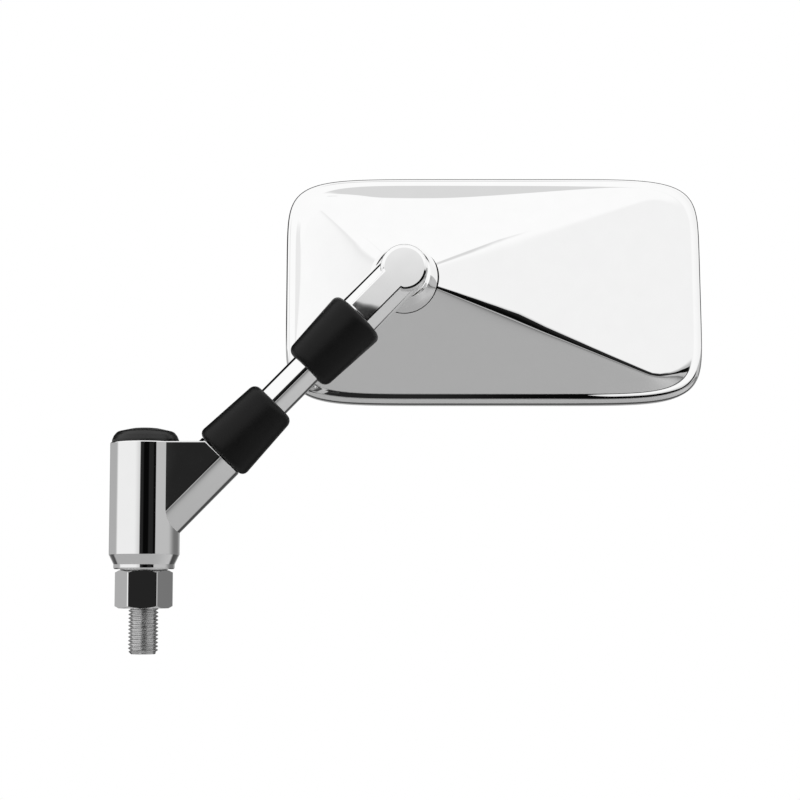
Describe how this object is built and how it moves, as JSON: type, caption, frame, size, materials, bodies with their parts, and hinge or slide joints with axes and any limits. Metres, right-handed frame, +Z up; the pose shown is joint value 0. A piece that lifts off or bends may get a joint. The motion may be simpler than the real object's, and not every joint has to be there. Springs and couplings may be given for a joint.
{
  "type": "motorcycle mirror",
  "caption": "Handlebar mirror: rectangular chromed head on a ball joint, straight jointed arm with rubber boots, swivelling base and a threaded stud with lock nut.",
  "frame": {"origin": "on the stud's axis, in the plane of the lock nut's lower face", "axes": "+Z up the stud, +X towards the head, the chromed back faces -Y and the glass +Y"},
  "size_m": [0.2066, 0.0561, 0.1702],
  "materials": {
    "chrome": "mirror-bright plating",
    "zinc_plate": "dull zinc plating",
    "steel": "plain steel",
    "nylon": "natural nylon",
    "black_plastic": "satin",
    "black_rubber": "matte",
    "mirror": "silvered convex glass",
    "foam": "closed-cell foam"
  },
  "bodies": {
    "stem": {"pivot_stem": "zinc_plate", "lock_nut": "chrome", "thrust_washer": "nylon", "friction_washer": "steel", "disc_springs": "steel", "top_nut": "steel", "top_nut_insert": "nylon"},
    "base": {"base_casting": "chrome", "top_cap": "black_plastic"},
    "arm": {"arm_rod": "chrome", "lower_jam_nut": "zinc_plate", "upper_jam_nut": "zinc_plate", "lower_boot": "black_rubber", "upper_boot": "black_rubber"},
    "knuckle": {"knuckle": "chrome"},
    "front_seat": {"ball_seat_front": "nylon"},
    "rear_seat": {"ball_seat_rear": "nylon"},
    "head": {"back_shell": "chrome", "socket_cup": "chrome", "clamp_plate": "steel", "clamp_screws": "zinc_plate", "clamp_springs": "steel", "clamp_nuts": "zinc_plate", "mirror_glass": "mirror", "glass_gasket": "black_rubber", "backing_pad": "foam"}
  },
  "joints": [
    {"name": "base_swivel", "type": "hinge", "parent": "stem", "child": "base", "pos_m": [0, 0, 0.0256], "axis": [0, 0, 1], "continuous": true},
    {"name": "socket_twist", "type": "hinge", "parent": "base", "child": "arm", "pos_m": [0, 0, 0.0256], "axis": [0.7009, 0, 0.7133], "range_deg": [-180, 180]},
    {"name": "knuckle_twist", "type": "hinge", "parent": "arm", "child": "knuckle", "pos_m": [0, 0, 0.0256], "axis": [0.7009, 0, 0.7133], "range_deg": [-180, 180]},
    {"name": "head_tilt", "type": "hinge", "parent": "knuckle", "child": "front_seat", "pos_m": [0.08775, 0.0169, 0.1149], "axis": [1, 0, 0], "range_deg": [-12, 12]},
    {"name": "head_pan", "type": "hinge", "parent": "front_seat", "child": "rear_seat", "pos_m": [0.08775, 0.0169, 0.1149], "axis": [0, 0.0872, 0.9962], "range_deg": [-12, 12]},
    {"name": "head_roll", "type": "hinge", "parent": "rear_seat", "child": "head", "pos_m": [0.08775, 0.0169, 0.1149], "axis": [0, -0.9962, 0.0872], "range_deg": [-90, 90]}
  ]
}
